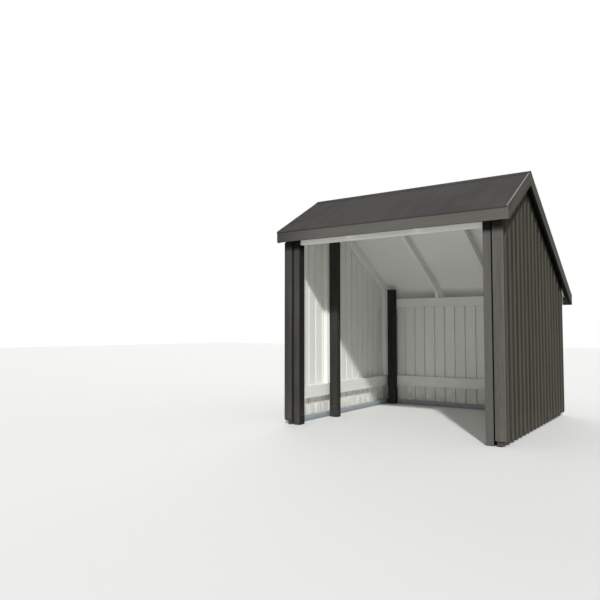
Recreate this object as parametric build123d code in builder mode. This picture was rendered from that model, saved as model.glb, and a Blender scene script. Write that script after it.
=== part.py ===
from build123d import *
import os
from math import cos, radians, tan

# Open-fronted timber bike shelter with a saltbox roof.
# Millimetres, +X to the right, +Y to the back, +Z up, origin at the middle of the footprint on the ground.

# Overall size, over the side cladding and from the front posts' face to the back cladding
wall_span = 2250
wall_length = 2322

# Roof form: apex of the covering, and where the ridge and the eaves lie behind the posts' front face
pitch = 30
ridge_height = 2455
ridge_from_front = 730
front_overhang = 71
back_overhang = 273
side_overhang = 60
drip = 6

# Roof layers, measured square to the slope
cover_thickness = 6
deck_thickness = 18
rafter_depth = 98
rafter_width = 45

# Trim boards
trim_thickness = 18
fascia_height = 104
verge_width = 108
corner_board_width = 90
corner_board_ground_gap = 48
edge_strip_width = 8
edge_strip_thickness = 6
ridge_cap_reach = 65
ridge_cap_radius = 25

# Board-on-board cladding: top boards over the gaps between the boards behind
board_thickness = 18
rib_pitch = 135
groove_width = 60
gap_width = 20
side_first_groove = 19
cladding_ground_gap = 36

# Wall frame inside the cladding
frame_thickness = 45
stud_width = 45
sole_height = 55
rail_bottom = 240
rail_height = 130

# Posts, and the battens that pack them off the side walls
front_post_width = 68
front_post_depth = 95
inner_post_width = 98
inner_post_depth = 80
back_post_drop = 93
batten_thickness = 26
batten_setback = 25

# Beams
front_beam_setback = 20
front_beam_width = 48
front_beam_height = 83
ridge_beam_width = 68
ridge_beam_height = 145
back_plate_height = 112

# Places that follow from the sizes above
half_span = wall_span / 2
front_y = (front_overhang - back_overhang - wall_length) / 2
ridge_y = front_y + ridge_from_front
back_y = front_y + wall_length
front_eave_y = front_y - front_overhang
back_eave_y = back_y + back_overhang
roof_half = half_span + side_overhang
cladding_depth = 2 * board_thickness
frame_out = half_span - cladding_depth
frame_in = frame_out - frame_thickness
post_out = frame_in - batten_thickness
back_frame_out = back_y - cladding_depth
back_frame_in = back_frame_out - frame_thickness
rail_top = rail_bottom + rail_height
under_deck = cover_thickness + deck_thickness
under_rafter = under_deck + rafter_depth


def slope_z(y, depth=0):
    """Height of the roof at y, a given depth square below the covering."""
    return ridge_height - abs(y - ridge_y) * tan(radians(pitch)) - depth / cos(radians(pitch))


def slope_y(z, depth, side):
    """Where a roof layer comes down to height z, on the front (-1) or back (+1) slope."""
    return ridge_y + side * (slope_z(ridge_y, depth) - z) / tan(radians(pitch))


def yz_prism(points, x_from, x_to, mode=Mode.ADD):
    """Add a prism with an outline in Y and Z, running along X, to the part being built, or cut it."""
    with BuildSketch(Plane.YZ.offset(x_from)) as profile:
        with BuildLine():
            Polyline(*points, close=True)
        make_face()
    extrude(profile.sketch, amount=x_to - x_from, mode=mode)


def slope_band(y_from, y_to, top, bottom):
    """Outline of a layer of one slope, cut plumb at both ends."""
    return [
        (y_from, slope_z(y_from, top)),
        (y_to, slope_z(y_to, top)),
        (y_to, slope_z(y_to, bottom)),
        (y_from, slope_z(y_from, bottom)),
    ]


def ridge_band(y_from, y_to, top, bottom):
    """Outline of a layer that runs over the ridge, cut plumb at both ends."""
    return [
        (y_from, slope_z(y_from, top)),
        (ridge_y, slope_z(ridge_y, top)),
        (y_to, slope_z(y_to, top)),
        (y_to, slope_z(y_to, bottom)),
        (ridge_y, slope_z(ridge_y, bottom)),
        (y_from, slope_z(y_from, bottom)),
    ]


def gable(y_from, y_to, z_from, depth):
    """Outline of an upright part of the side wall, cut to the roof at its top."""
    peak = [(ridge_y, slope_z(ridge_y, depth))] if y_from < ridge_y < y_to else []
    return [
        (y_from, z_from),
        (y_to, z_from),
        (y_to, slope_z(y_to, depth)),
        *peak,
        (y_from, slope_z(y_from, depth)),
    ]


def block(x_from, x_to, y_from, y_to, z_from, z_to):
    """Add a squared timber between six faces to the part being built."""
    with BuildSketch(Plane.XY.offset(z_from)) as plan:
        with Locations(((x_from + x_to) / 2, (y_from + y_to) / 2)):
            Rectangle(abs(x_to - x_from), abs(y_to - y_from))
    extrude(plan.sketch, amount=z_to - z_from)


def save(builder, name):
    builder.part.label = name
    export_step(builder.part, f"parts/{name}.step")


os.makedirs("parts", exist_ok=True)
sides = {"left": -1, "right": 1}

# Trim levels
fascia_top = slope_z(front_eave_y, cover_thickness)
fascia_bottom = fascia_top - fascia_height
fascia_back = front_eave_y + trim_thickness
back_fascia_top = slope_z(back_eave_y, cover_thickness)
back_fascia_bottom = back_fascia_top - fascia_height
back_fascia_front = back_eave_y - trim_thickness
verge_in = roof_half - trim_thickness
verge_bottom = cover_thickness + verge_width
corner_board_front = front_y - trim_thickness
corner_board_back = back_y + trim_thickness

# Beam levels: the front and ridge beams are let into the rafters; the back wall stops at their tails
front_beam_y = (front_y + front_beam_setback, front_y + front_beam_setback + front_beam_width)
front_beam_top = slope_z(front_beam_y[1], under_rafter)
front_beam_bottom = front_beam_top - front_beam_height
ridge_beam_y = (ridge_y - ridge_beam_width / 2, ridge_y + ridge_beam_width / 2)
ridge_beam_top = slope_z(ridge_y, under_rafter)
ridge_beam_bottom = ridge_beam_top - ridge_beam_height
back_plate_y = (back_frame_in, back_frame_out)
back_plate_top = slope_z(corner_board_back, under_rafter)
back_plate_bottom = back_plate_top - back_plate_height

# Posts: the front pair runs up to the deck, the middle pair carries the ridge beam
front_post_in = post_out - front_post_width
inner_post_in = post_out - inner_post_width
front_post_y = (front_y, front_y + front_post_depth)
middle_post_y = (ridge_beam_y[0], ridge_beam_y[0] + inner_post_depth)
back_post_y = (back_frame_in - inner_post_depth, back_frame_in)
back_post_top = slope_z(back_post_y[0], under_deck) - back_post_drop

for side_name, side in sides.items():
    with BuildPart() as front_post:
        yz_prism(
            [
                (front_post_y[0], 0),
                (front_post_y[1], 0),
                (front_post_y[1], slope_z(front_post_y[1], under_deck)),
                (front_post_y[0], slope_z(front_post_y[0], under_deck)),
            ],
            min(side * post_out, side * front_post_in),
            max(side * post_out, side * front_post_in),
        )
    save(front_post, f"front_post_{side_name}")

    with BuildPart() as middle_post:
        block(side * post_out, side * inner_post_in, *middle_post_y, 0, ridge_beam_bottom)
    save(middle_post, f"middle_post_{side_name}")

    with BuildPart() as back_post:
        block(side * post_out, side * inner_post_in, *back_post_y, 0, back_post_top)
    save(back_post, f"back_post_{side_name}")

# Battens between the posts and the side walls; the inner ones stand above the low rails
front_batten_y = (front_post_y[0] + batten_setback, front_post_y[1])
middle_batten_y = (middle_post_y[0] + batten_setback, middle_post_y[1])
back_batten_y = (back_post_y[0] + batten_setback, back_post_y[1])
for side_name, side in sides.items():
    with BuildPart() as front_batten:
        batten_top = slope_z(front_batten_y[0], under_deck)
        block(side * frame_in, side * post_out, *front_batten_y, sole_height, batten_top)
    save(front_batten, f"front_batten_{side_name}")

    with BuildPart() as post_battens:
        block(side * frame_in, side * post_out, *middle_batten_y, rail_top, ridge_beam_bottom)
        block(side * frame_in, side * post_out, *back_batten_y, rail_top, back_post_top)
    save(post_battens, f"post_battens_{side_name}")

# Beams, and the top rail of the back wall
with BuildPart() as front_beam:
    block(-front_post_in, front_post_in, *front_beam_y, front_beam_bottom, front_beam_top)
save(front_beam, "front_beam")

with BuildPart() as ridge_beam:
    block(-frame_in, frame_in, *ridge_beam_y, ridge_beam_bottom, ridge_beam_top)
save(ridge_beam, "ridge_beam")

with BuildPart() as back_plate:
    block(-frame_out, frame_out, *back_plate_y, back_plate_bottom, back_plate_top)
save(back_plate, "back_plate")

# Sole plates on the ground
for side_name, side in sides.items():
    with BuildPart() as sole_plate:
        block(side * frame_in, side * frame_out, front_y, back_frame_in, 0, sole_height)
    save(sole_plate, f"sole_plate_{side_name}")

with BuildPart() as sole_plate_back:
    block(-frame_out, frame_out, back_frame_in, back_frame_out, 0, sole_height)
save(sole_plate_back, "sole_plate_back")

# Studs of the side walls, cut to the slope under the gable rafters
stud_feet = [
    ((front_y, front_y + stud_width), sole_height),
    (middle_post_y, rail_top),
    (back_post_y, rail_top),
]
for side_name, side in sides.items():
    with BuildPart() as studs:
        for span, foot in stud_feet:
            yz_prism(
                gable(*span, foot, under_rafter),
                min(side * frame_in, side * frame_out),
                max(side * frame_in, side * frame_out),
            )
    save(studs, f"wall_studs_{side_name}")

# Low rails, round the three walls
for side_name, side in sides.items():
    with BuildPart() as low_rail:
        rail_y = (front_y + stud_width, back_frame_in)
        block(side * frame_in, side * frame_out, *rail_y, rail_bottom, rail_top)
    save(low_rail, f"low_rail_{side_name}")

with BuildPart() as low_rail_back:
    block(-frame_out, frame_out, back_frame_in, back_frame_out, rail_bottom, rail_top)
save(low_rail_back, "low_rail_back")

# Side cladding: ribbed outside, gapped inside behind each rib, cut to the roof
side_groove_count = int((wall_length - side_first_groove - groove_width) // rib_pitch) + 1
side_grooves = [
    front_y + side_first_groove + groove_width / 2 + index * rib_pitch for index in range(side_groove_count)
]
side_gaps = [middle + rib_pitch / 2 for middle in side_grooves[:-1]]
for side_name, side in sides.items():
    with BuildPart() as cladding:
        with BuildSketch():
            with Locations((side * (half_span - board_thickness), (front_y + back_y) / 2)):
                Rectangle(cladding_depth, wall_length)
            for middle in side_grooves:
                with Locations((side * (half_span - board_thickness / 2), middle)):
                    Rectangle(board_thickness, groove_width, mode=Mode.SUBTRACT)
            for middle in side_gaps:
                with Locations((side * (frame_out + board_thickness / 2), middle)):
                    Rectangle(board_thickness, gap_width, mode=Mode.SUBTRACT)
        extrude(amount=ridge_height)
        with BuildSketch(Plane.YZ.offset(-half_span)):
            with BuildLine():
                Polyline(*gable(front_y, back_y, cladding_ground_gap, under_deck), close=True)
            make_face()
        extrude(amount=wall_span, mode=Mode.INTERSECT)
    save(cladding, f"cladding_{side_name}")

# Back cladding: the same boards, centred between the side walls, level with the top rail
back_groove_count = int((2 * frame_out - groove_width) // rib_pitch) + 1
back_grooves = [(index - (back_groove_count - 1) / 2) * rib_pitch for index in range(back_groove_count)]
back_gaps = [middle + rib_pitch / 2 for middle in back_grooves[:-1]]
with BuildPart() as back_cladding:
    with BuildSketch(Plane.XY.offset(cladding_ground_gap)):
        with Locations((0, back_y - board_thickness)):
            Rectangle(2 * frame_out, cladding_depth)
        for middle in back_grooves:
            with Locations((middle, back_y - board_thickness / 2)):
                Rectangle(groove_width, board_thickness, mode=Mode.SUBTRACT)
        for middle in back_gaps:
            with Locations((middle, back_frame_out + board_thickness / 2)):
                Rectangle(gap_width, board_thickness, mode=Mode.SUBTRACT)
    extrude(amount=back_plate_top - cladding_ground_gap)
save(back_cladding, "cladding_back")

# Rafters: a plumb cut at the ridge, a level cut at each tail, bird's mouths over the beams
front_tail_level = slope_z(corner_board_front, under_rafter)
back_tail_level = back_fascia_bottom + (front_tail_level - fascia_bottom)
front_tail = [
    (slope_y(front_tail_level, under_rafter, -1), front_tail_level),
    (fascia_back, front_tail_level),
]
back_tail = [
    (slope_y(back_tail_level, under_rafter, 1), back_tail_level),
    (back_fascia_front, back_tail_level),
]
front_top = [
    (fascia_back, slope_z(fascia_back, under_deck)),
    (ridge_y, slope_z(ridge_y, under_deck)),
]
back_top = [
    (back_fascia_front, slope_z(back_fascia_front, under_deck)),
    (ridge_y, slope_z(ridge_y, under_deck)),
]
front_mouths = [
    (ridge_y, ridge_beam_top),
    (ridge_beam_y[0], ridge_beam_top),
    (ridge_beam_y[0], slope_z(ridge_beam_y[0], under_rafter)),
    (front_beam_y[1], front_beam_top),
    (front_beam_y[0], front_beam_top),
    (front_beam_y[0], slope_z(front_beam_y[0], under_rafter)),
]
back_mouths = [
    (ridge_y, ridge_beam_top),
    (ridge_beam_y[1], ridge_beam_top),
    (ridge_beam_y[1], slope_z(ridge_beam_y[1], under_rafter)),
]
ridge_foot = [(ridge_y, slope_z(ridge_y, under_rafter))]
gable_rafter_x = (frame_in + frame_out) / 2
inner_rafter_x = gable_rafter_x / 3
rafter_sets = {
    "rafters_front": (inner_rafter_x, rafter_width, front_top + front_mouths + front_tail),
    "rafters_back": (inner_rafter_x, rafter_width, back_top + back_mouths + back_tail),
    "gable_rafters_front": (gable_rafter_x, frame_thickness, front_top + ridge_foot + front_tail),
    "gable_rafters_back": (gable_rafter_x, frame_thickness, back_top + ridge_foot + back_tail),
}
for name, (reach, width, outline) in rafter_sets.items():
    with BuildPart() as rafters:
        for side in sides.values():
            yz_prism(outline, side * reach - width / 2, side * reach + width / 2)
    save(rafters, name)

# Wedges that seat the rafters on the back wall, over its top rail and its cladding
seat_outline = [
    (back_frame_in, back_plate_top),
    (back_y, back_plate_top),
    (back_y, slope_z(back_y, under_rafter)),
    (back_frame_in, slope_z(back_frame_in, under_rafter)),
]
with BuildPart() as rafter_seats:
    for side in sides.values():
        for reach, width in ((inner_rafter_x, rafter_width), (gable_rafter_x, frame_thickness)):
            yz_prism(seat_outline, side * reach - width / 2, side * reach + width / 2)
save(rafter_seats, "rafter_seats")

# Roof deck and covering
with BuildPart() as front_deck:
    yz_prism(slope_band(fascia_back, ridge_y, cover_thickness, under_deck), -verge_in, verge_in)
save(front_deck, "roof_deck_front")

with BuildPart() as back_deck:
    yz_prism(slope_band(ridge_y, back_fascia_front, cover_thickness, under_deck), -verge_in, verge_in)
save(back_deck, "roof_deck_back")

with BuildPart() as front_covering:
    yz_prism(slope_band(front_eave_y - drip, ridge_y, 0, cover_thickness), -roof_half, roof_half)
save(front_covering, "roof_covering_front")

with BuildPart() as back_covering:
    yz_prism(slope_band(ridge_y, back_eave_y + drip, 0, cover_thickness), -roof_half, roof_half)
save(back_covering, "roof_covering_back")

# Ridge cap over the whole width, folded round over the ridge and level with the edge strips
with BuildPart() as ridge_cap:
    yz_prism(
        ridge_band(ridge_y - ridge_cap_reach, ridge_y + ridge_cap_reach, -edge_strip_thickness, 0),
        -roof_half,
        roof_half,
    )
    fillet(ridge_cap.edges().filter_by(Axis.X).sort_by(Axis.Z)[-1], radius=ridge_cap_radius)
save(ridge_cap, "ridge_cap")

# Edge strips up both slopes, stopped at the ridge cap
edge_strip_in = roof_half - edge_strip_width
edge_strip_spans = [
    (front_eave_y - drip, ridge_y - ridge_cap_reach),
    (ridge_y + ridge_cap_reach, back_eave_y + drip),
]
with BuildPart() as edge_strips:
    for side in sides.values():
        for span in edge_strip_spans:
            yz_prism(
                slope_band(*span, -edge_strip_thickness, 0),
                min(side * edge_strip_in, side * roof_half),
                max(side * edge_strip_in, side * roof_half),
            )
save(edge_strips, "roof_edge_strips")

# Fascia boards, with their tops bevelled to the slope
with BuildPart() as front_fascia:
    yz_prism(
        [
            (front_eave_y, fascia_bottom),
            (fascia_back, fascia_bottom),
            (fascia_back, slope_z(fascia_back, cover_thickness)),
            (front_eave_y, fascia_top),
        ],
        -roof_half,
        roof_half,
    )
save(front_fascia, "fascia_front")

with BuildPart() as back_fascia:
    yz_prism(
        [
            (back_eave_y, back_fascia_bottom),
            (back_fascia_front, back_fascia_bottom),
            (back_fascia_front, slope_z(back_fascia_front, cover_thickness)),
            (back_eave_y, back_fascia_top),
        ],
        -roof_half,
        roof_half,
    )
save(back_fascia, "fascia_back")

# Verge boards, with their feet cut level with the fascia
front_verge = (slope_band(fascia_back, ridge_y, cover_thickness, verge_bottom), fascia_bottom)
back_verge = (slope_band(ridge_y, back_fascia_front, cover_thickness, verge_bottom), back_fascia_bottom)
for side_name, side in sides.items():
    for slope_name, (outline, foot) in (("front", front_verge), ("back", back_verge)):
        verge_x = (min(side * verge_in, side * roof_half), max(side * verge_in, side * roof_half))
        with BuildPart() as verge_board:
            yz_prism(outline, *verge_x)
            yz_prism(
                [
                    (fascia_back, foot),
                    (back_fascia_front, foot),
                    (back_fascia_front, ridge_height),
                    (fascia_back, ridge_height),
                ],
                *verge_x,
                mode=Mode.INTERSECT,
            )
        save(verge_board, f"verge_board_{slope_name}_{side_name}")

# Corner boards over the ends of the side walls
with BuildPart() as front_corner_boards:
    for side in sides.values():
        block(
            side * half_span,
            side * (half_span - corner_board_width),
            corner_board_front,
            front_y,
            corner_board_ground_gap,
            front_tail_level,
        )
save(front_corner_boards, "corner_boards_front")

with BuildPart() as back_corner_boards:
    for side in sides.values():
        block(
            side * half_span,
            side * (half_span - corner_board_width),
            back_y,
            corner_board_back,
            corner_board_ground_gap,
            back_plate_top,
        )
save(back_corner_boards, "corner_boards_back")
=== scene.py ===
"""Dresses the timber bike shelter: stained boards, painted timbers, roofing membrane and fixings."""
import math
import random

import bmesh
import bpy
from mathutils import Matrix, Vector


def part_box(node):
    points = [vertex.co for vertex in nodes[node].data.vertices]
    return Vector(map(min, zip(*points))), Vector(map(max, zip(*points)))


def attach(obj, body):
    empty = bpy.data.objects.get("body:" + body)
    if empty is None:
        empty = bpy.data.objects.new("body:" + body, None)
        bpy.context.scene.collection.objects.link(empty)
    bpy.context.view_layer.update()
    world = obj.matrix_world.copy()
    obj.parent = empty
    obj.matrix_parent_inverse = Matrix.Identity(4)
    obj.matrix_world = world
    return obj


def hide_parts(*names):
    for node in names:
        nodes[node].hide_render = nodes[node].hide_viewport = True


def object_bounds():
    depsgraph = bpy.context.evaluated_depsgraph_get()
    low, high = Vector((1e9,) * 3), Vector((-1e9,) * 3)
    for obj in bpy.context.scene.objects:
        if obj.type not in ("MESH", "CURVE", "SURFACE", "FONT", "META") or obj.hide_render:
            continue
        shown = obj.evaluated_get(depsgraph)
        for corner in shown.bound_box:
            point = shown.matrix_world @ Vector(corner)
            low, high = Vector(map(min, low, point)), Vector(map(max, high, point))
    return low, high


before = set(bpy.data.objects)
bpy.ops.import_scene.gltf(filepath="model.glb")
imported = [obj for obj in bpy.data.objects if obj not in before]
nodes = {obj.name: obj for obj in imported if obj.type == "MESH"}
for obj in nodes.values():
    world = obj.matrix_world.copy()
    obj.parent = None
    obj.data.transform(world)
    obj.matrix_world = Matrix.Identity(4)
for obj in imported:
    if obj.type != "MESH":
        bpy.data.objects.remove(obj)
cad_low, cad_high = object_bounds()
chance = random.Random(7)


def middle_z(node):
    low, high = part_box(node)
    return (low.z + high.z) / 2


# Sizes shared with the CAD model, in metres
PITCH = math.radians(30)
RIB_PITCH = 0.135
GROOVE = 0.060
GAP = 0.020
FIRST_GROOVE = 0.019
BOARD = 0.018
CORNER_WIDTH = 0.090
SIDE_OVERHANG = 0.060

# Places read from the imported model
wall_low, wall_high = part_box("cladding_right")
HALF_SPAN = cad_high.x - SIDE_OVERHANG
INNER_HALF_SPAN = HALF_SPAN - 2 * BOARD
FRONT_Y = wall_low.y
BACK_Y = wall_high.y
INNER_BACK_Y = BACK_Y - 2 * BOARD
RIDGE_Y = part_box("roof_deck_front")[1].y
SKIRT_Z = wall_low.z
EAVE_TOP_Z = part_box("cladding_back")[1].z
GABLE_TOP_Z = wall_high.z
FASCIA_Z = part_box("fascia_front")[0].z
RAIL_Z = middle_z("low_rail_back")
PLATE_Z = middle_z("back_plate")

# Sizes of the dressing alone: a board's edge stops short of its neighbour's line by its ease, and a side
# board reaches up to the uncut top before the slopes cut it
BOARD_EASE = 0.0004
UNCUT_TOP_Z = 2.6
BOARD_ARRIS = 0.0015
TIMBER_ARRIS = 0.002
POST_ARRIS = 0.003
SHEET_ARRIS = 0.0012

# Where marks and colours start and end, in metres
SPLASH_TOP = 0.3
DUST_TOP = 0.4
SCUFF_TOP = 0.045
# Painted dappled tree shadow darkens the left end, fading out between these
LEFT_SHADE_X = (-1.35, -0.5)
ROOF_LEFT_SHADE_X = (-1.35, -0.3)
# Painted shadows of the roof deck's overhang and of the fascia reach down this far
DECK_SHADOW = (0.075, 0.125)
SHADOW_IN_GROOVES = 0.10
FASCIA_SHADOW = (0.06, 0.11)
CORNER_COVER = 0.099
# How far in from the front a stud is dark: painted shade in the gap beside the post
SHADED_STUD = 0.031
# How far in from the front a sole is dark: painted shade under the corner boards
DARK_SOLE_FRONT = 0.041

# Each stain as it looks on screen, from 0 to 255: pale grain, dark grain, and where it is rubbed, which also
# paints the highlight on sides marked as lit
TRIM = ((102, 101, 96), (77, 76, 72), (114, 112, 106))
FASCIA = ((96, 95, 90), (84, 83, 79), (108, 106, 100))
VERGE = ((83, 82, 76), (58, 57, 52), (98, 96, 88))
WALLS = ((53, 52, 44), (31, 30, 25), (93, 91, 80))
# The posts' stains are the trim's stain darkened to paint the shade they stand in; a post's front takes the
# paler third shade as painted sunlight
POST = ((54, 53, 50), (38, 38, 36), (95, 94, 89))
SHADED_INNER_POST = ((60, 59, 56), (42, 42, 40), (74, 72, 68))

# Shades of the other finishes, in pairs from which a grain or bloom is mixed, of dirt, and of painted shade
WHITE = ((233, 233, 227), (242, 242, 237))
# Near-black painted shade on the deck and gable rafters outside the walls
BLACK_SHADE = ((31, 30, 27), (22, 21, 19))
SOLE = ((150, 160, 166), (170, 180, 184))
# Dark grey on the soles' outer faces and front ends: dirt outside, painted shade where a sole shows under a
# corner board
SOLE_DIRT_AND_SHADE = ((54, 52, 47), (78, 75, 68))
SOLE_SCUFF = (120, 124, 122)
SOLE_FOOT = (118, 116, 108)
SHEET = ((58, 57, 55), (69, 68, 66))
SHEET_GRANULE = (118, 117, 113)
# Painted dappled tree shadow on the roof's left end
SHEET_LEFT_SHADE = (34, 34, 33)
EDGE_STRIP = (150, 148, 143)
SCREW = (76, 74, 68)
KNOT_UNDER_PAINT = (196, 184, 160)
SPLASHED_MUD = (112, 106, 97)
DUST = (172, 166, 155)

# The share of a stain's dark grain that is left in a knot, in the painted tree shadow at the left end, and
# in painted shade
KNOT_SHADE = 0.6
LEFT_SHADE_SHARE = 0.42
PAINTED_SHADE_SHARE = 0.32


class Field:
    """A value that changes over a surface. Sums on it add Math nodes."""

    def __init__(self, web, socket):
        self.web = web
        self.socket = socket

    def _sum(self, operation, first, second):
        return self.web.node("ShaderNodeMath", {"operation": operation}, {0: first, 1: second})[0]

    def __add__(self, other):
        return self._sum("ADD", self, other)

    def __radd__(self, other):
        return self._sum("ADD", other, self)

    def __sub__(self, other):
        return self._sum("SUBTRACT", self, other)

    def __rsub__(self, other):
        return self._sum("SUBTRACT", other, self)

    def __mul__(self, other):
        return self._sum("MULTIPLY", self, other)

    def __rmul__(self, other):
        return self._sum("MULTIPLY", other, self)

    def __abs__(self):
        return self._sum("ABSOLUTE", self, 0.0)

    def most(self, other):
        """The larger of two values."""
        return self._sum("MAXIMUM", self, other)

    def over(self, low, high):
        """0 where the value is under low, 1 over high, and a smooth step between."""
        settings = {"interpolation_type": "SMOOTHSTEP"}
        inputs = {"Value": self, "From Min": low, "From Max": high}
        return self.web.node("ShaderNodeMapRange", settings, inputs)[0]

    def past(self, edge):
        """1 past an edge and 0 before it, with a step of a millimetre."""
        return self.over(edge - 0.001, edge)


class Outputs:
    """A node's outputs, by number or name, as fields."""

    def __init__(self, web, made):
        self.web = web
        self.made = made

    def __getitem__(self, key):
        return Field(self.web, self.made.outputs[key])


class Web:
    """The nodes of one material or of the world."""

    def __init__(self, owner):
        owner.use_nodes = True
        self.tree = owner.node_tree

    def node(self, kind, settings=None, inputs=None):
        """Adds a node with its settings, then sets or links its sockets, and returns its outputs."""
        made = self.tree.nodes.new(kind)
        for key, value in (settings or {}).items():
            setattr(made, key, value)
        self.set(made, inputs or {})
        return Outputs(self, made)

    def set(self, made, inputs):
        for key, value in inputs.items():
            socket = made.inputs[key]
            if isinstance(value, Field):
                self.tree.links.new(value.socket, socket)
            else:
                socket.default_value = value


class Finish(Web):
    """One surface finish of the shelter."""

    def __init__(self, name):
        self.material = bpy.data.materials.new(name)
        super().__init__(self.material)
        self.place = self.node("ShaderNodeTexCoord")["Object"]

    def noise(self, place, scale, detail, roughness):
        inputs = {"Vector": place, "Scale": scale, "Detail": detail, "Roughness": roughness}
        return self.node("ShaderNodeTexNoise", None, inputs)[0]

    def blend(self, share, first, second):
        """A colour that goes from the first to the second as share goes from 0 to 1."""
        inputs = {0: share, 6: first, 7: second}
        return self.node("ShaderNodeMix", {"data_type": "RGBA"}, inputs)[2]

    def paired(self, share, shades):
        """A colour that goes from one of two shades to the other as share goes from 0 to 1."""
        return self.blend(share, tint(shades[0]), tint(shades[1]))

    def axes(self):
        parts = self.node("ShaderNodeSeparateXYZ", None, {0: self.place})
        return parts["X"], parts["Y"], parts["Z"]

    def mark(self, name):
        """A number carried by the mesh, such as which board a face is on."""
        return self.node("ShaderNodeAttribute", {"attribute_name": name})["Fac"]

    def mapped(self, place, **inputs):
        """A place turned or scaled, so that a pattern on it runs another way or is drawn out."""
        return self.node("ShaderNodeMapping", {"vector_type": "POINT"}, {"Vector": place, **inputs})[0]

    def surface(self, values):
        self.set(self.tree.nodes["Principled BSDF"], values)

    def relief(self, height, depth, strength):
        inputs = {"Height": height, "Distance": depth, "Strength": strength}
        self.surface({"Normal": self.node("ShaderNodeBump", None, inputs)[0]})


def tint(shade, share=1.0):
    """A share of a shade that is given as it looks on screen, as a colour for the nodes."""
    def linear(level):
        level = level * share / 255
        return level / 12.92 if level <= 0.04045 else ((level + 0.055) / 1.055) ** 2.4
    return (*(linear(level) for level in shade), 1.0)


# Turns that lay a timber's grain along Z
GRAIN = {
    "z": (0, 0, 0),
    "x": (0, math.radians(90), 0),
    "y": (math.radians(90), 0, 0),
    "front": (math.radians(90) - PITCH, 0, 0),
    "back": (PITCH - math.radians(90), 0, 0),
}

# How far along each axis a board's tone moves its grain, so that no two boards are alike
GRAIN_SHIFT = (3.1, 5.3, 17.7)


class Timber(Finish):
    """A finish on timber: its growth bands, fibres and patches lie along it, and each board has its tone."""

    def __init__(self, name, direction):
        super().__init__(name)
        self.tone = self.mark("board")
        shift = {axis: self.tone * reach for axis, reach in enumerate(GRAIN_SHIFT)}
        moved = {0: self.place, 1: self.node("ShaderNodeCombineXYZ", None, shift)[0]}
        moved = self.node("ShaderNodeVectorMath", {"operation": "ADD"}, moved)[0]
        self.run = self.mapped(moved, Rotation=GRAIN[direction])
        self.bands = self.drawn_out(across=30, along=1.2, detail=3.0, roughness=0.55)
        self.fibres = self.drawn_out(across=260, along=9.0, detail=4.0, roughness=0.65)
        self.patches = self.drawn_out(across=3.5, along=1.3, detail=2.0, roughness=0.5)

    def drawn_out(self, across, along, detail, roughness):
        """Noise with so many cells a metre across the grain and along it."""
        return self.noise(self.mapped(self.run, Scale=(across, across, along)), 1.0, detail, roughness)

    def knots(self, share):
        """Small dark knots, on a share of the places where one could be."""
        cells = {"Vector": self.mapped(self.run, Scale=(8.0, 8.0, 4.6)), "Scale": 1.0}
        cells = self.node("ShaderNodeTexVoronoi", None, cells)
        chosen = self.node("ShaderNodeSeparateColor", None, {0: cells["Color"]})[0]
        return (1 - cells["Distance"].over(0.035, 0.085)) * chosen.over(1 - share, 1.01 - share)


def stained(name, direction, shades, left_shade=0.0, cast_shadow=None):
    """Sawn timber under a thin stain: fibres, darker summer wood, knots, rubbed arrises, painted shade
    beneath.

    The left end is painted darker by a share, as the dappled shadow of a tree. Where the last argument gives
    1, a painted shadow of the roof darkens the board. Faces marked as a side take the rubbed shade as a
    painted highlight.
    """
    timber = Timber(name, direction)
    pale, dark, worn_and_lit = shades
    x, y, z = timber.axes()
    summer_wood = (timber.bands * 0.6 + timber.fibres * 0.4).over(0.36, 0.64)
    colour = timber.blend(summer_wood * 0.6 + timber.tone * 0.4, tint(dark), tint(pale))
    faded = timber.patches.over(0.42, 0.72) * 0.14
    colour = timber.blend(faded, colour, tint(worn_and_lit))
    knots = timber.knots(0.35)
    colour = timber.blend(knots * 0.55, colour, tint(dark, KNOT_SHADE))
    rubbed = timber.mark("rim") * timber.fibres.over(0.3, 0.6) * 0.5
    colour = timber.blend(rubbed, colour, tint(worn_and_lit))
    # Painted highlight: faces marked as a side, rib edges and post fronts, lighten as if the key lamp fell
    # on them
    painted_lit_sides = timber.mark("side") * (timber.fibres * 0.35 + timber.bands * 0.35 + 0.5)
    colour = timber.blend(painted_lit_sides, colour, tint(worn_and_lit))
    # Painted dappled tree shadow darkens the left end
    if left_shade:
        dappled = left_shade + timber.patches.over(0.4, 0.65) * left_shade * 0.4
        colour = timber.blend((1 - x.over(*LEFT_SHADE_X)) * dappled, colour, tint(dark, LEFT_SHADE_SHARE))
    drops = timber.noise(timber.place, 14.0, detail=5.0, roughness=0.65).over(0.4, 0.7)
    colour = timber.blend((1 - z.over(0.0, SPLASH_TOP)) * drops * 0.28, colour, tint(SPLASHED_MUD))
    # Painted shade on faces that look down and on the floors of the grooves
    colour = timber.blend(timber.mark("painted_shade") * 0.9, colour, tint(dark, PAINTED_SHADE_SHARE))
    # Painted shadow cast by the overhang above the board
    if cast_shadow:
        colour = timber.blend(cast_shadow(timber, y, z) * 0.9, colour, tint(dark, PAINTED_SHADE_SHARE))
    roughness = 0.7 + timber.fibres * 0.25
    timber.surface({"Base Color": colour, "Roughness": roughness, "Specular IOR Level": 0.08})
    timber.relief(timber.bands * 0.3 + timber.fibres * 0.6 - knots * 0.3, depth=0.0012, strength=0.6)
    return timber.material


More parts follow.
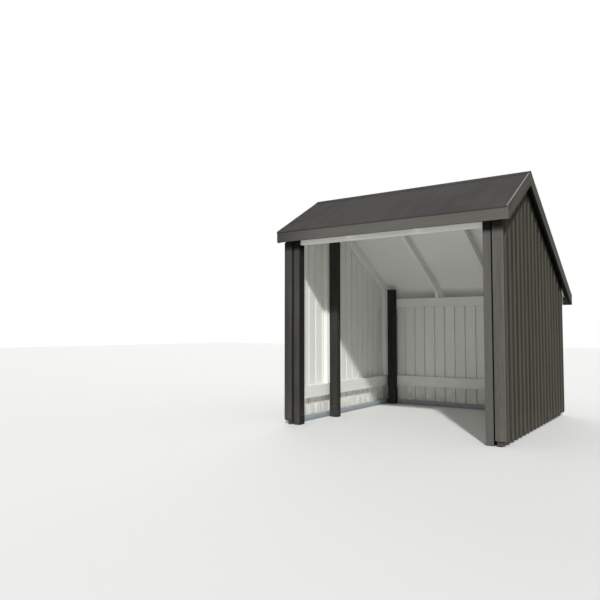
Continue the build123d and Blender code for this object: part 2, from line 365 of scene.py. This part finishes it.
def painted(name, direction, in_shade=None, figure=1.0):
    """Planed timber under white paint.

    Where the given function gives 1 for a place, a near-black painted shade takes the paint's place. Figure
    is how far the grain shows.
    """
    timber = Timber(name, direction)
    x, y, z = timber.axes()
    share = timber.bands.over(0.3, 0.7) * (0.45 * figure) + timber.tone * 0.55
    colour = timber.paired(share, WHITE)
    colour = timber.blend(timber.knots(0.3) * (0.25 * figure), colour, tint(KNOT_UNDER_PAINT))
    specks = timber.noise(timber.place, 9.0, detail=5.0, roughness=0.6).over(0.35, 0.7)
    colour = timber.blend((1 - z.over(0.0, DUST_TOP)) * specks * 0.4, colour, tint(DUST))
    roughness = 0.45 + timber.bands * 0.12
    # Near-black painted shade outside the walls
    if in_shade:
        outside = in_shade(x, y)
        stain = timber.paired(timber.bands.over(0.35, 0.65), BLACK_SHADE)
        colour = timber.blend(outside, colour, stain)
        roughness = roughness + outside * 0.2
    timber.surface({"Base Color": colour, "Roughness": roughness, "Specular IOR Level": 0.2})
    timber.relief(timber.bands * 0.4 + timber.fibres * 0.4, depth=0.0007 * figure, strength=0.4)
    return timber.material


def under_the_deck(timber, y, z):
    """Painted shadow of the overhang, in a band under the roof deck that reaches further down in the
    grooves.
    """
    depth = abs(y - RIDGE_Y) * -math.tan(PITCH) - z + GABLE_TOP_Z
    depth = depth - timber.mark("painted_shade") * SHADOW_IN_GROOVES + timber.fibres * 0.01
    return 1 - depth.over(*DECK_SHADOW)


def under_the_fascia(timber, y, z):
    """Painted shadow of the fascia on the posts and corner boards close under it."""
    depth = timber.fibres * 0.012 - z + FASCIA_Z
    return (1 - depth.over(*FASCIA_SHADOW)) * (1 - y.over(0.0, 0.1))


def outside_walls(x, y):
    """Where the deck and the gable rafters are outside the walls, or ahead of a front corner: painted
    near-black there as the shade under the overhangs.
    """
    beside = abs(x).past(HALF_SPAN - BOARD)
    ahead = (1 - y.past(FRONT_Y)) * abs(x).past(HALF_SPAN - CORNER_COVER)
    return beside.most(ahead)


def ahead_of_battens(x, y):
    """Where the front studs show between a post and its corner board, painted dark as the shade in that gap.
    """
    return 1 - y.past(FRONT_Y + SHADED_STUD)


def sole_paint():
    """Blue grey paint on the sole plates, scuffed inside; dark grey outside with dirt, and at the front ends
    as painted shade under the corner boards.
    """
    timber = Timber("blue_grey_sole_paint", "z")
    x, y, z = timber.axes()
    scuffs = timber.noise(timber.place, 22.0, detail=5.0, roughness=0.7).over(0.5, 0.72)
    colour = timber.paired(timber.tone * 0.5 + timber.fibres * 0.3, SOLE)
    colour = timber.blend(scuffs * 0.35, colour, tint(SOLE_SCUFF))
    colour = timber.blend((1 - z.over(0.0, SCUFF_TOP)) * 0.5, colour, tint(SOLE_FOOT))
    beside = abs(x).past(INNER_HALF_SPAN - 0.001)
    behind = y.past(INNER_BACK_Y - 0.001)
    ahead = 1 - y.past(FRONT_Y + DARK_SOLE_FRONT)
    colour = timber.blend(beside.most(behind).most(ahead), colour, timber.paired(scuffs, SOLE_DIRT_AND_SHADE))
    timber.surface({"Base Color": colour, "Roughness": 0.6 + scuffs * 0.2})
    timber.relief(timber.fibres * 0.5 + scuffs * 0.5, depth=0.0008, strength=0.4)
    return timber.material


def membrane():
    """Grey roofing membrane: a fine granular face, faint weather stains running down the slope."""
    sheet = Finish("grey_roofing_membrane")
    grains = sheet.noise(sheet.place, 900.0, detail=2.0, roughness=0.6)
    clouds = sheet.noise(sheet.place, 2.2, detail=4.0, roughness=0.55)
    down_the_slope = sheet.mapped(sheet.place, Scale=(9.0, 0.8, 0.8))
    streaks = sheet.noise(down_the_slope, 1.0, detail=3.0, roughness=0.5)
    share = clouds.over(0.3, 0.7) * 0.5 + streaks.over(0.35, 0.65) * 0.3 + grains * 0.2
    colour = sheet.paired(share, SHEET)
    colour = sheet.blend(grains.over(0.62, 0.72) * 0.3, colour, tint(SHEET_GRANULE))
    # Painted dappled tree shadow darkens the left end of the roof
    left_shade = (1 - sheet.axes()[0].over(*ROOF_LEFT_SHADE_X)) * clouds.over(0.42, 0.56) * 0.5
    colour = sheet.blend(left_shade, colour, tint(SHEET_LEFT_SHADE))
    sheet.surface({"Base Color": colour, "Roughness": 0.78 + grains * 0.16, "Specular IOR Level": 0.1})
    sheet.relief(grains * 0.7 + clouds * 0.3, depth=0.0008, strength=0.5)
    return sheet.material


def metal(name, shade, roughness):
    """Matt metal with a faint bloom."""
    face = Finish(name)
    bloom = face.noise(face.place, 30.0, detail=4.0, roughness=0.6)
    colour = face.blend(bloom.over(0.35, 0.65), tint(shade), tint(shade, 0.84))
    face.surface({"Base Color": colour, "Metallic": 0.85, "Roughness": roughness + bloom * 0.15})
    face.relief(face.noise(face.place, 400.0, detail=2.0, roughness=0.5), depth=0.0003, strength=0.3)
    return face.material


finishes = {
    "sole": sole_paint(),
    "roof": membrane(),
    "edge": metal("matt_edge_strip", EDGE_STRIP, 0.42),
    "screw": metal("dull_screw_steel", SCREW, 0.5),
    "studs": painted("white_paint_on_studs", "z", ahead_of_battens),
}
for way in ("x", "y", "z"):
    finishes["white_" + way] = painted("white_paint_" + way, way)
for way in ("front", "back"):
    finishes["rafter_" + way] = painted("white_paint_on_rafters_" + way, way, outside_walls)
    finishes["deck_" + way] = painted("white_paint_on_deck_" + way, way, outside_walls, figure=0.35)
# Each stain: its grain, its shades, how far the painted tree shadow darkens its left end, and where a
# painted roof shadow falls
stains = {
    "trim_x": ("x", FASCIA, 0.72),
    "trim_z": ("z", TRIM, 0.6, under_the_fascia),
    "verge_front": ("front", VERGE, 0.3),
    "verge_back": ("back", VERGE, 0.3),
    "walls": ("z", WALLS, 0.0, under_the_deck),
    "post": ("z", POST, 0.72, under_the_fascia),
    "inner_post_in_shade": ("z", SHADED_INNER_POST),
}
for name, recipe in stains.items():
    finishes[name] = stained("grey_stain_" + name, *recipe)


def new_timber():
    """An empty mesh whose faces carry their board's tone, and how far each is an arris, a side with a
    painted highlight, and in painted shade.
    """
    timber = bmesh.new()
    for mark in ("board", "rim", "side", "painted_shade"):
        timber.faces.layers.float.new(mark)
    return timber


def eased(timber, edges, width):
    """Rounds the arrises between faces, and marks the new faces as rim."""
    made = bmesh.ops.bevel(
        timber,
        geom=edges,
        offset=width,
        offset_type="OFFSET",
        affect="EDGES",
        segments=2,
        profile=0.5,
        material=-1,
        clamp_overlap=True,
    )
    rim = timber.faces.layers.float["rim"]
    for face in made["faces"]:
        face[rim] = 1.0


def finished(name, mesh, materials, stands_for=()):
    """Makes a piece of the shelter from its mesh, and hides the CAD nodes that it stands for."""
    data = bpy.data.meshes.new(name)
    mesh.to_mesh(data)
    mesh.free()
    piece = bpy.data.objects.new(name, data)
    bpy.context.scene.collection.objects.link(piece)
    for material in materials:
        data.materials.append(material)
    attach(piece, "root")
    if stands_for:
        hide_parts(*stands_for)


def number_boards(timber):
    """Gives each separate board of a mesh its own tone, and marks the faces that look down for painted
    shade.
    """
    board = timber.faces.layers.float["board"]
    painted_shade = timber.faces.layers.float["painted_shade"]
    timber.normal_update()
    for face in timber.faces:
        face[painted_shade] = max(face[painted_shade], float(face.normal.z < -0.5))
        face.tag = False
    for face in timber.faces:
        if face.tag:
            continue
        tone = chance.random()
        reached = [face]
        face.tag = True
        while reached:
            here = reached.pop()
            here[board] = tone
            for edge in here.edges:
                for beyond in edge.link_faces:
                    if not beyond.tag:
                        beyond.tag = True
                        reached.append(beyond)


def paint_lit_front(post):
    """Marks the front of a post for painted sunlight, which makes it paler than the post's shaded sides."""
    side = post.faces.layers.float["side"]
    for face in post.faces:
        face[side] = float(face.normal.y < -0.6)


def dressed(name, finish, arris):
    """The CAD timber of one node with its outer arrises eased."""
    timber = new_timber()
    timber.from_mesh(nodes[name].data)
    bmesh.ops.remove_doubles(timber, verts=timber.verts[:], dist=0.00005)
    flat = math.radians(1)
    bmesh.ops.dissolve_limit(timber, angle_limit=flat, verts=timber.verts[:], edges=timber.edges[:])
    corner = math.radians(12)
    eased(timber, [e for e in timber.edges if e.is_convex and e.calc_face_angle(0) > corner], arris)
    number_boards(timber)
    if finish == "post":
        paint_lit_front(timber)
    finished(name + "_dressed", timber, [finishes[finish]], [name])


def sawn_board(low, high, cuts):
    """One board between two corners, cut by planes, with its arrises eased."""
    board = new_timber()
    bmesh.ops.create_cube(board, size=1.0)
    size = [b - a for a, b in zip(low, high)]
    middle = [(a + b) / 2 for a, b in zip(low, high)]
    place = Matrix.Translation(middle) @ Matrix.Diagonal((*size, 1))
    bmesh.ops.transform(board, matrix=place, verts=board.verts)
    for point, outward in cuts:
        plane = {"plane_co": point, "plane_no": outward, "dist": 1e-6, "clear_outer": True}
        whole = board.verts[:] + board.edges[:] + board.faces[:]
        cut = bmesh.ops.bisect_plane(board, geom=whole, **plane)
        rim = [part for part in cut["geom_cut"] if isinstance(part, bmesh.types.BMEdge)]
        if rim:
            bmesh.ops.edgeloop_fill(board, edges=rim)
    bmesh.ops.recalc_face_normals(board, faces=board.faces[:])
    eased(board, board.edges[:], BOARD_ARRIS)
    board.normal_update()
    return board


def board_into(cladding, low, high, cuts, inward, behind):
    """Adds one board, stained outside and painted on its inner face.

    A board behind the top boards is painted in its gaps too, and its outer face takes painted shade in the
    grooves.
    """
    board = sawn_board(low, high, cuts)
    side = board.faces.layers.float["side"]
    painted_shade = board.faces.layers.float["painted_shade"]
    along = Vector((inward.y, inward.x, 0))
    for face in board.faces:
        edge = abs(face.normal.dot(along)) > 0.8
        at_end = abs(face.calc_center_median().y - FRONT_Y) < 0.004
        # Edge faces of the top boards carry a painted highlight, and the outer faces behind the grooves
        # painted shade
        face[side] = float(edge and not behind)
        face[painted_shade] = 0.45 * (behind and face.normal.dot(inward) < -0.8)
        if face.normal.dot(inward) > 0.6 or (behind and edge and not at_end):
            face.material_index = 1
    number_boards(board)
    scrap = bpy.data.meshes.new("scrap")
    board.to_mesh(scrap)
    board.free()
    cladding.from_mesh(scrap)
    bpy.data.meshes.remove(scrap)


# Planes of the deck's underside, which cut the side boards
deck_under = Vector((0, RIDGE_Y, GABLE_TOP_Z))
front_cut = (deck_under, Vector((0, -math.sin(PITCH), math.cos(PITCH))))
back_cut = (deck_under, Vector((0, math.sin(PITCH), math.cos(PITCH))))


def spans(start, end, middles, width):
    """The stretches of a wall that are left between grooves or gaps of one width."""
    marks = [start]
    for middle in middles:
        marks += [middle - width / 2, middle + width / 2]
    marks.append(end)
    return [(a, b) for a, b in zip(marks[::2], marks[1::2]) if b - a > 0.001]


def between(middles):
    return [middle + RIB_PITCH / 2 for middle in middles[:-1]]


# Grooves outside, and the gaps behind the ribs between them
side_count = int((BACK_Y - FRONT_Y - FIRST_GROOVE - GROOVE) // RIB_PITCH) + 1
side_grooves = [FRONT_Y + FIRST_GROOVE + GROOVE / 2 + i * RIB_PITCH for i in range(side_count)]
back_count = int((2 * INNER_HALF_SPAN - GROOVE) // RIB_PITCH) + 1
back_grooves = [(i - (back_count - 1) / 2) * RIB_PITCH for i in range(back_count)]
side_ribs = spans(FRONT_Y, BACK_Y, side_grooves, GROOVE)
side_under_boards = spans(FRONT_Y, BACK_Y, between(side_grooves), GAP)
back_ribs = spans(-INNER_HALF_SPAN, INNER_HALF_SPAN, back_grooves, GROOVE)
back_under_boards = spans(-INNER_HALF_SPAN, INNER_HALF_SPAN, between(back_grooves), GAP)
wall_skin = [finishes["walls"], finishes["white_z"]]


def side_wall(side_name, side):
    """The two layers of boards of a side wall, which end under both slopes of the roof."""
    layers = [
        ("top_boards", side_ribs, HALF_SPAN, False),
        ("under_boards", side_under_boards, HALF_SPAN - BOARD, True),
    ]
    for layer, boards, outer, behind in layers:
        wall = new_timber()
        near, far = sorted((side * outer, side * (outer - BOARD)))
        for start, end in boards:
            low = (near, start + BOARD_EASE, SKIRT_Z)
            high = (far, end - BOARD_EASE, UNCUT_TOP_Z)
            board_into(wall, low, high, [front_cut, back_cut], Vector((-side, 0, 0)), behind)
        finished(f"side_{layer}_{side_name}", wall, wall_skin, [f"cladding_{side_name}"])


def back_wall():
    """The two layers of boards of the back wall, which end square under the eaves."""
    layers = [
        ("top_boards", back_ribs, BACK_Y, False),
        ("under_boards", back_under_boards, BACK_Y - BOARD, True),
    ]
    for layer, boards, outer, behind in layers:
        wall = new_timber()
        for start, end in boards:
            low = (start + BOARD_EASE, outer - BOARD, SKIRT_Z)
            high = (end - BOARD_EASE, outer, EAVE_TOP_Z)
            board_into(wall, low, high, [], Vector((0, -1, 0)), behind)
        finished(f"back_{layer}", wall, wall_skin, ["cladding_back"])


side_wall("left", -1)
side_wall("right", 1)
back_wall()

# The first words of the nodes' names, by finish, each timber with its grain along its length
timber_finishes = {
    "trim_z": ["corner_boards"],
    "post": ["front_post"],
    "trim_x": ["fascia"],
    "verge_front": ["verge_board_front"],
    "verge_back": ["verge_board_back"],
    "inner_post_in_shade": ["middle_post", "back_post", "front_batten"],
    "white_z": ["post_battens"],
    "studs": ["wall_studs"],
    "white_x": ["front_beam", "ridge_beam", "back_plate", "low_rail_back", "rafter_seats"],
    "white_y": ["low_rail_left", "low_rail_right"],
    "rafter_front": ["rafters_front", "gable_rafters_front"],
    "rafter_back": ["rafters_back", "gable_rafters_back"],
    "deck_front": ["roof_deck_front"],
    "deck_back": ["roof_deck_back"],
    "sole": ["sole_plate"],
    "roof": ["roof_covering", "ridge_cap"],
    "edge": ["roof_edge_strips"],
}
arrises = {
    "trim_z": POST_ARRIS,
    "post": POST_ARRIS,
    "inner_post_in_shade": POST_ARRIS,
    "roof": SHEET_ARRIS,
    "edge": SHEET_ARRIS,
}
for finish, stems in timber_finishes.items():
    for name in sorted(nodes):
        if name.startswith(tuple(stems)):
            dressed(name, finish, arrises.get(finish, TIMBER_ARRIS))

# Screw heads, and where they sit on the boards
HEAD_RADIUS = 0.0042
HEAD_TOP_RADIUS = 0.0030
HEAD_HEIGHT = 0.0016
DRIVE_RIM = 0.0011
DRIVE_DEPTH = 0.0006
RIB_SCREW_INSET = 0.014
NARROW_RIB = 0.05
GABLE_SCREW_DROP = 0.075
CORNER_SCREW_INSET = 0.020
CORNER_SCREW_PITCH = 0.42
CORNER_SCREW_FOOT = 0.10
CORNER_SCREW_HEAD = 0.16


def screws(name, places):
    """Screw heads, each a low cone with a sunk drive, on the faces that they hold."""
    heads = new_timber()
    for place, outward in places:
        outward = Vector(outward)
        turn = outward.to_track_quat("Z", "Y").to_matrix().to_4x4()
        spin = Matrix.Rotation(chance.random() * math.pi, 4, "Z")
        cone = {"radius1": HEAD_RADIUS, "radius2": HEAD_TOP_RADIUS, "depth": HEAD_HEIGHT}
        seat = Matrix.Translation(Vector(place)) @ turn @ spin
        head = bmesh.ops.create_cone(heads, cap_ends=True, segments=12, matrix=seat, **cone)
        sides = {face for vert in head["verts"] for face in vert.link_faces}
        top = max(sides, key=lambda face: face.normal.dot(outward))
        bmesh.ops.inset_region(heads, faces=[top], thickness=DRIVE_RIM, depth=-DRIVE_DEPTH)
    finished(name, heads, [finishes["screw"]])


def across(ribs):
    """Two screws across each rib, or one where the rib is narrow."""
    for low, high in ribs:
        if high - low > NARROW_RIB:
            yield low + RIB_SCREW_INSET
            yield high - RIB_SCREW_INSET
        else:
            yield (low + high) / 2


def side_wall_screws():
    for side in (-1, 1):
        for y in across(side_ribs[1:]):
            under_roof = GABLE_TOP_Z - abs(y - RIDGE_Y) * math.tan(PITCH)
            for z in (RAIL_Z, under_roof - GABLE_SCREW_DROP):
                yield (side * HALF_SPAN, y, z), (side, 0, 0)


def back_wall_screws():
    for x in across(back_ribs[1:-1]):
        for z in (RAIL_Z, PLATE_Z):
            yield (x, BACK_Y, z), (0, 1, 0)


def corner_board_screws():
    for boards, way in (("corner_boards_front", -1), ("corner_boards_back", 1)):
        low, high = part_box(boards)
        face = low.y if way < 0 else high.y
        height = high.z - low.z
        count = int((height - 0.2) // CORNER_SCREW_PITCH) + 1
        step = (height - CORNER_SCREW_FOOT - CORNER_SCREW_HEAD) / (count - 1)
        for side in (-1, 1):
            for i in range(count):
                for inset in (CORNER_SCREW_INSET, CORNER_WIDTH - CORNER_SCREW_INSET):
                    z = low.z + CORNER_SCREW_FOOT + i * step
                    yield (side * (HALF_SPAN - inset), face, z), (0, way, 0)


screws("side_wall_screws", side_wall_screws())
screws("back_wall_screws", back_wall_screws())
screws("corner_board_screws", corner_board_screws())

# Camera where the photograph was taken, about a metre above the ground
CAMERA_BESIDE = 1.4074
CAMERA_AHEAD = 5.0293
CAMERA_HEIGHT = 0.961
CAMERA_TILT = math.radians(2.96)
CAMERA_TURN = math.radians(34.63)
camera = bpy.data.objects.new("camera", bpy.data.cameras.new("camera"))
bpy.context.scene.collection.objects.link(camera)
camera.location = (HALF_SPAN + CAMERA_BESIDE, FRONT_Y - CAMERA_AHEAD, CAMERA_HEIGHT)
camera.rotation_euler = (math.radians(90) + CAMERA_TILT, 0, CAMERA_TURN)
camera.data.lens = 35.68
camera.data.sensor_width = 36
bpy.context.scene.camera = camera
bpy.context.scene.view_settings.view_transform = "Standard"

# Pale floor
floor_mesh = bpy.data.meshes.new("floor")
slab = bmesh.new()
bmesh.ops.create_grid(slab, x_segments=1, y_segments=1, size=30)
slab.to_mesh(floor_mesh)
slab.free()
floor = bpy.data.objects.new("floor", floor_mesh)
bpy.context.scene.collection.objects.link(floor)
ground = Finish("pale_floor")
ground.surface({"Base Color": (0.8, 0.8, 0.79, 1.0), "Roughness": 0.9})
floor_mesh.materials.append(ground.material)

# Soft light from all round, with a plain white background where it is seen, mirrored or seen through
AMBIENT = 0.40
world = bpy.data.worlds.new("studio")
bpy.context.scene.world = world
air = Web(world)
rays = air.node("ShaderNodeLightPath")
seen = rays["Is Camera Ray"].most(rays["Is Glossy Ray"]).most(rays["Is Transmission Ray"])
backdrop = {"Color": (1, 1, 1, 1), "Strength": AMBIENT + seen * (1 - AMBIENT)}
air.set(world.node_tree.nodes["Background"], backdrop)


def lamp(name, strength, spread, tilt, turn):
    """A distant lamp, with its spread and its turns in degrees."""
    light = bpy.data.objects.new(name, bpy.data.lights.new(name, "SUN"))
    light.data.energy = strength
    light.data.angle = math.radians(spread)
    light.rotation_euler = (math.radians(tilt), 0, math.radians(turn))
    bpy.context.scene.collection.objects.link(light)


lamp("key", strength=2.85, spread=3, tilt=52, turn=32)
lamp("soft", strength=1.1, spread=50, tilt=76, turn=213)
